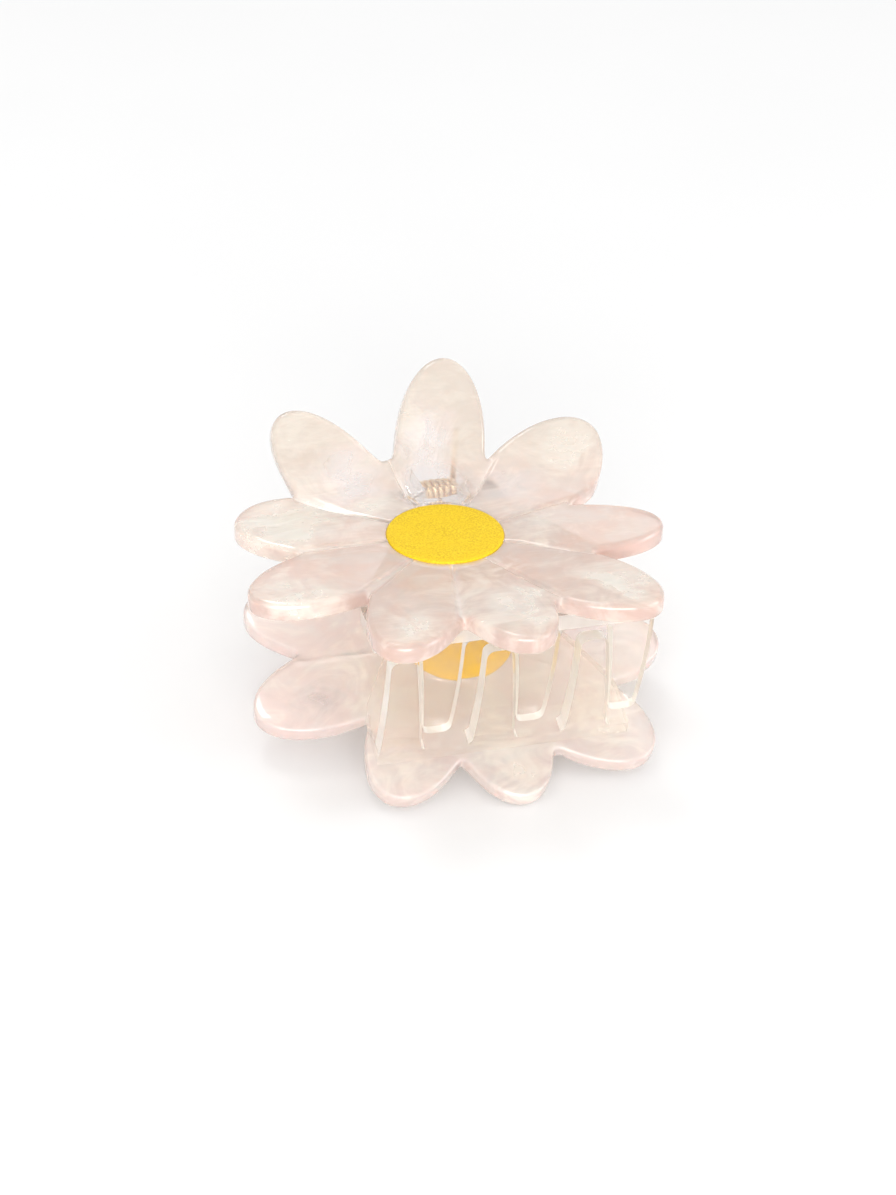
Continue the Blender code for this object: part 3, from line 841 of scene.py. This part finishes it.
def studio():
    mesh = bmesh.new()
    bmesh.ops.create_grid(mesh, x_segments=1, y_segments=1, size=FLOOR_HALF)
    data = bpy.data.meshes.new("studio_floor")
    mesh.to_mesh(data)
    mesh.free()
    data.materials.append(floor_finish())
    floor = bpy.data.objects.new("studio_floor", data)
    floor.location = (0, 0, -FLOOR_DROP)
    bpy.context.scene.collection.objects.link(floor)
    world = bpy.data.worlds.new("studio_world")
    world.use_nodes = True
    sky = world.node_tree.nodes["Background"]
    sky.inputs["Color"].default_value = (1.0, 1.0, 1.0, 1.0)
    sky.inputs["Strength"].default_value = SKY_STRENGTH
    bpy.context.scene.world = world
    for lamp in LAMPS:
        area_light(*lamp)
    bpy.context.scene.view_settings.view_transform = "Standard"
    bpy.context.scene.cycles.max_bounces = 24
    bpy.context.scene.cycles.transmission_bounces = 24
    bpy.context.scene.cycles.glossy_bounces = 12


def camera():
    azimuth = math.radians(CAMERA_AZIMUTH)
    elevation = math.radians(CAMERA_ELEVATION)
    forward = Vector((math.sin(azimuth) * math.cos(elevation),
                      math.cos(azimuth) * math.cos(elevation), -math.sin(elevation)))
    level = forward.cross(Vector((0, 0, 1))).normalized()
    turn = Matrix.Rotation(-math.radians(CAMERA_ROLL), 3, forward)
    right = turn @ level
    up = right.cross(forward)
    data = bpy.data.cameras.new("camera")
    data.sensor_fit = "HORIZONTAL"
    data.sensor_width = SENSOR_WIDTH
    data.lens = CAMERA_LENS
    data.clip_start = 0.01
    made = bpy.data.objects.new("camera", data)
    bpy.context.scene.collection.objects.link(made)
    rotation = Matrix((right, up, -forward)).transposed().to_4x4()
    place = Vector(CAMERA_AIM) * MM - forward * CAMERA_DISTANCE * MM
    made.matrix_world = Matrix.Translation(place) @ rotation
    bpy.context.scene.camera = made


# ---- assembly --------------------------------------------------------------------------------
# Pearl and clear clouds: (direction in degrees seen from outside, distance, size, strength)
UPPER_PEARL = ((95, 28, 7, 0.45), (70, 22, 4, 0.4), (127, 30, 5, 0.5), (160, 24, 8, 1.0),
               (205, 28, 6, 0.7), (245, 27, 5, 0.6), (280, 22, 7, 0.9), (318, 29, 6, 0.8),
               (356, 14, 5, 0.6), (36, 29, 6, 0.6), (140, 13, 5, 0.5))
UPPER_CLEAR = ((86, 22, 5, 0.8), (81, 12.5, 5.0, 1.7), (124, 20, 5, 0.7), (42, 18, 5, 0.6),
               (250, 18, 4, 0.4))
LOWER_PEARL = ((240, 26, 5, 0.5), (277, 26, 8, 0.45), (314, 28, 5, 0.6), (196, 18, 5, 0.3),
               (76, 26, 6, 0.8), (118, 28, 5, 0.7), (36, 27, 6, 0.6))
LOWER_CLEAR = ((200, 24, 4, 0.5), (76, 18, 5, 0.6), (350, 24, 5, 0.5))


def mirror_petals(petals):
    """Petals given as seen from above, turned into the lower jaw's own frame."""
    return tuple(sorted((180.0 - angle, length, half) for angle, length, half in petals))


def mirror_patches(patches):
    """The same for clouds."""
    return tuple((180.0 - patch[0], *patch[1:]) for patch in patches)


def build():
    upper_acetate = pearl_acetate(
        "upper_pearl_acetate", deep_pink=(0.93, 0.72, 0.63), pale_pink=(0.92, 0.80, 0.73),
        edge_pink=(0.80, 0.54, 0.49), edge_pearl=(0.82, 0.71, 0.63),
        streaks=0.10, relief=0.42, handle_shade_strength=0.8)
    # Painted light: the lower flower's pinks are paler than the upper's, a lit copy that offsets
    # the shade under the upper flower
    lower_acetate_painted_light = pearl_acetate(
        "lower_pearl_acetate_painted_light", deep_pink=(0.93, 0.79, 0.75), pale_pink=(0.93, 0.86, 0.82),
        edge_pink=(0.90, 0.72, 0.68), edge_pearl=(0.90, 0.82, 0.76),
        streaks=0.04, relief=0.15, handle_shade_strength=0.15)
    upper_enamel = yellow_enamel(
        "upper_yellow", dark=(0.70, 0.43, 0.003), light=(0.95, 0.69, 0.008),
        drifted=(0.88, 0.59, 0.004))
    # Painted shade: the lower centre's yellows are darker than the upper's, a shaded copy of the
    # same enamel
    lower_enamel_painted_shade = yellow_enamel(
        "lower_yellow", dark=(0.56, 0.31, 0.002), light=(0.82, 0.51, 0.006),
        drifted=(0.72, 0.43, 0.003))
    clear = clear_plastic()
    glue = glue_line()
    # Painted light: the pale cream on the teeth's sawn sides is partly real saw haze and partly
    # stands in for the bright reflections inside them
    hazed_and_lit_tooth_sides = cut_edge("tooth_sides_haze_and_painted_light", (0.93, 0.89, 0.81), (0.96, 0.93, 0.88))
    # Painted shade: the upper comb's base front gets a darker half-clear tone for the shade under
    # the upper flower; the lower comb keeps clear plastic there
    shaded_base_front = cut_edge("base_front_painted_shade", (0.74, 0.69, 0.64), (0.80, 0.75, 0.70))
    steel = metal("pin_steel", (0.60, 0.58, 0.55), (0.50, 0.47, 0.43), 0.25)
    gold = metal("spring_wire", (0.85, 0.66, 0.40), (0.72, 0.50, 0.28), 0.24)

    upper = flower("upper_daisy", UPPER_PETALS, UPPER_SHIFT, UPPER_PEARL, UPPER_CLEAR,
                   UPPER_PLACE, upper_acetate)
    stand_in(upper, "upper_flower", "upper_jaw")
    lower = flower("lower_daisy", mirror_petals(LOWER_PETALS), -LOWER_SHIFT,
                   mirror_patches(LOWER_PEARL), mirror_patches(LOWER_CLEAR), LOWER_PLACE,
                   lower_acetate_painted_light)
    stand_in(lower, "lower_flower", "lower_jaw")
    stand_in(centre_disc("upper_yellow_centre", UPPER_SHIFT, UPPER_PLACE, upper_enamel),
             "upper_centre", "upper_jaw")
    stand_in(centre_disc("lower_yellow_centre", -LOWER_SHIFT, LOWER_PLACE, lower_enamel_painted_shade),
             "lower_centre", "lower_jaw")
    stand_in(clear_comb("upper_clear_comb", UPPER_FIRST_TOOTH, UPPER_PLACE,
                        (clear, glue, hazed_and_lit_tooth_sides, shaded_base_front)),
             "upper_comb", "upper_jaw")
    stand_in(clear_comb("lower_clear_comb", LOWER_FIRST_TOOTH, LOWER_PLACE,
                        (clear, glue, hazed_and_lit_tooth_sides, clear)),
             "lower_comb", "lower_jaw")
    stand_in(hinge_pin(steel), "hinge_pin", "lower_jaw")

    spring = torsion_spring(gold)
    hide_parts("torsion_spring")
    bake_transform(spring)


build()
studio()
camera()
